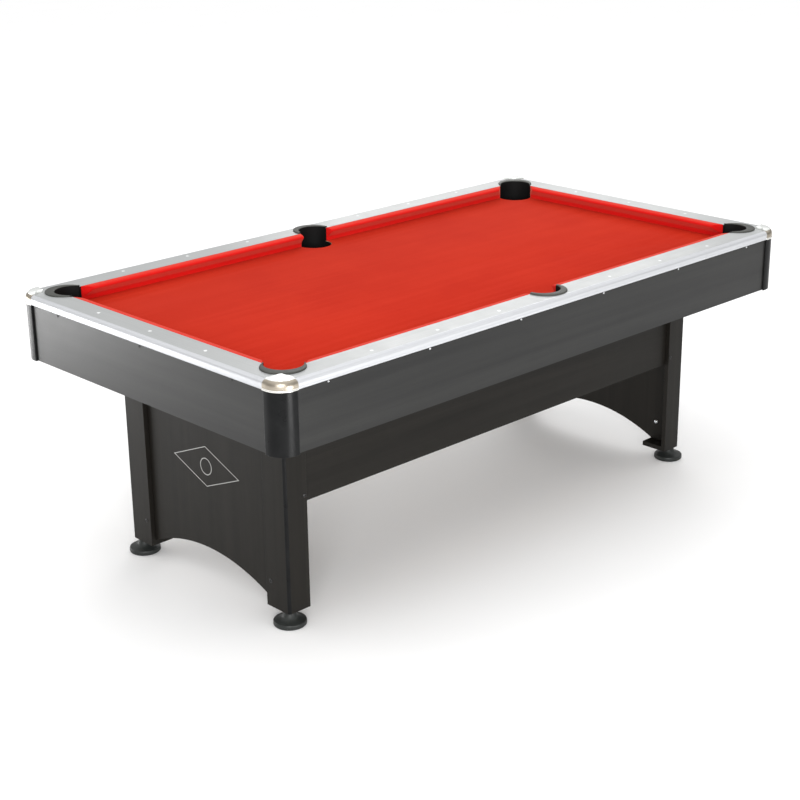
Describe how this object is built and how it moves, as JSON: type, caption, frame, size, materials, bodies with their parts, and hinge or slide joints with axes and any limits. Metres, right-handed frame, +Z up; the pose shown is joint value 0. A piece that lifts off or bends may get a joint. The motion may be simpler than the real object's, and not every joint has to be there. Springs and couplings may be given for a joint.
{
  "type": "pool table",
  "caption": "Pool table with drop pockets, cloth-covered bed and cushions, metal-edged rails, deep aprons and an arched board base on screw-down levelling feet.",
  "frame": {"origin": "on the floor, under the middle of the table", "axes": "+X along the table, +Y across it, +Z up; the end seen in the picture is -X and the long side seen is -Y"},
  "size_m": [2.138, 1.172, 0.823],
  "materials": {
    "rail": "silver-grey laminate on board, satin",
    "trim": "bright satin bullnose extrusion",
    "corner_cap": "polished",
    "cushion_cloth": "red baize over rubber",
    "bed_cloth": "red baize, stretched",
    "pocket_liner": "dark grey moulded, fine grain",
    "pocket_cup": "black moulded",
    "corner_post": "black, satin gloss",
    "apron": "charcoal wood-grain laminate",
    "base": "warm black wood-grain laminate",
    "board": "raw fibreboard",
    "foot": "charcoal moulded",
    "stud": "zinc plated thread"
  },
  "bodies": {
    "table": {"side_rail_near": "rail", "side_rail_far": "rail", "end_rail_left": "rail", "end_rail_right": "rail", "side_trim_near": "trim", "side_trim_far": "trim", "end_trim_left": "trim", "end_trim_right": "trim", "side_apron_near": "apron", "side_apron_far": "apron", "end_apron_left": "apron", "end_apron_right": "apron", "cushion_near_left": "cushion_cloth", "cushion_near_right": "cushion_cloth", "cushion_far_left": "cushion_cloth", "cushion_far_right": "cushion_cloth", "cushion_end_left": "cushion_cloth", "cushion_end_right": "cushion_cloth", "pocket_liner_near_left": "pocket_liner", "pocket_cup_near_left": "pocket_cup", "pocket_liner_near_middle": "pocket_liner", "pocket_cup_near_middle": "pocket_cup", "pocket_liner_near_right": "pocket_liner", "pocket_cup_near_right": "pocket_cup", "pocket_liner_far_left": "pocket_liner", "pocket_cup_far_left": "pocket_cup", "pocket_liner_far_middle": "pocket_liner", "pocket_cup_far_middle": "pocket_cup", "pocket_liner_far_right": "pocket_liner", "pocket_cup_far_right": "pocket_cup", "corner_post_near_left": "corner_post", "corner_cap_near_left": "corner_cap", "leg_near_left": "base", "corner_post_near_right": "corner_post", "corner_cap_near_right": "corner_cap", "leg_near_right": "base", "corner_post_far_left": "corner_post", "corner_cap_far_left": "corner_cap", "leg_far_left": "base", "corner_post_far_right": "corner_post", "corner_cap_far_right": "corner_cap", "leg_far_right": "base", "bed_cloth": "bed_cloth", "bed_board": "board", "cross_beam_left": "board", "cross_beam_mid_left": "board", "cross_beam_mid_right": "board", "cross_beam_right": "board", "end_panel_left": "base", "end_panel_right": "base", "stretcher_near": "base", "stretcher_far": "base"},
    "foot_near_left": {"foot_near_left": "foot"},
    "stud_near_left": {"stud_near_left": "stud"},
    "foot_near_right": {"foot_near_right": "foot"},
    "stud_near_right": {"stud_near_right": "stud"},
    "foot_far_left": {"foot_far_left": "foot"},
    "stud_far_left": {"stud_far_left": "stud"},
    "foot_far_right": {"foot_far_right": "foot"},
    "stud_far_right": {"stud_far_right": "stud"}
  },
  "joints": [
    {"name": "foot_slide_near_left", "type": "slide", "parent": "table", "child": "foot_near_left", "axis": [0, 0, -1], "range_m": [0, 0.024]},
    {"name": "stud_turn_near_left", "type": "hinge", "parent": "foot_near_left", "child": "stud_near_left", "pos_m": [-0.857, -0.34, 0.06], "axis": [0, 0, -1], "range_deg": [0, 5761]},
    {"name": "foot_slide_near_right", "type": "slide", "parent": "table", "child": "foot_near_right", "axis": [0, 0, -1], "range_m": [0, 0.024]},
    {"name": "stud_turn_near_right", "type": "hinge", "parent": "foot_near_right", "child": "stud_near_right", "pos_m": [0.857, -0.34, 0.06], "axis": [0, 0, -1], "range_deg": [0, 5761]},
    {"name": "foot_slide_far_left", "type": "slide", "parent": "table", "child": "foot_far_left", "axis": [0, 0, -1], "range_m": [0, 0.024]},
    {"name": "stud_turn_far_left", "type": "hinge", "parent": "foot_far_left", "child": "stud_far_left", "pos_m": [-0.857, 0.34, 0.06], "axis": [0, 0, -1], "range_deg": [0, 5761]},
    {"name": "foot_slide_far_right", "type": "slide", "parent": "table", "child": "foot_far_right", "axis": [0, 0, -1], "range_m": [0, 0.024]},
    {"name": "stud_turn_far_right", "type": "hinge", "parent": "foot_far_right", "child": "stud_far_right", "pos_m": [0.857, 0.34, 0.06], "axis": [0, 0, -1], "range_deg": [0, 5761]}
  ],
  "couplings": [
    {"joint": "stud_turn_near_left", "follows": "foot_slide_near_left", "rad_per_m": 4188.8},
    {"joint": "stud_turn_near_right", "follows": "foot_slide_near_right", "rad_per_m": 4188.8},
    {"joint": "stud_turn_far_left", "follows": "foot_slide_far_left", "rad_per_m": 4188.8},
    {"joint": "stud_turn_far_right", "follows": "foot_slide_far_right", "rad_per_m": 4188.8}
  ]
}
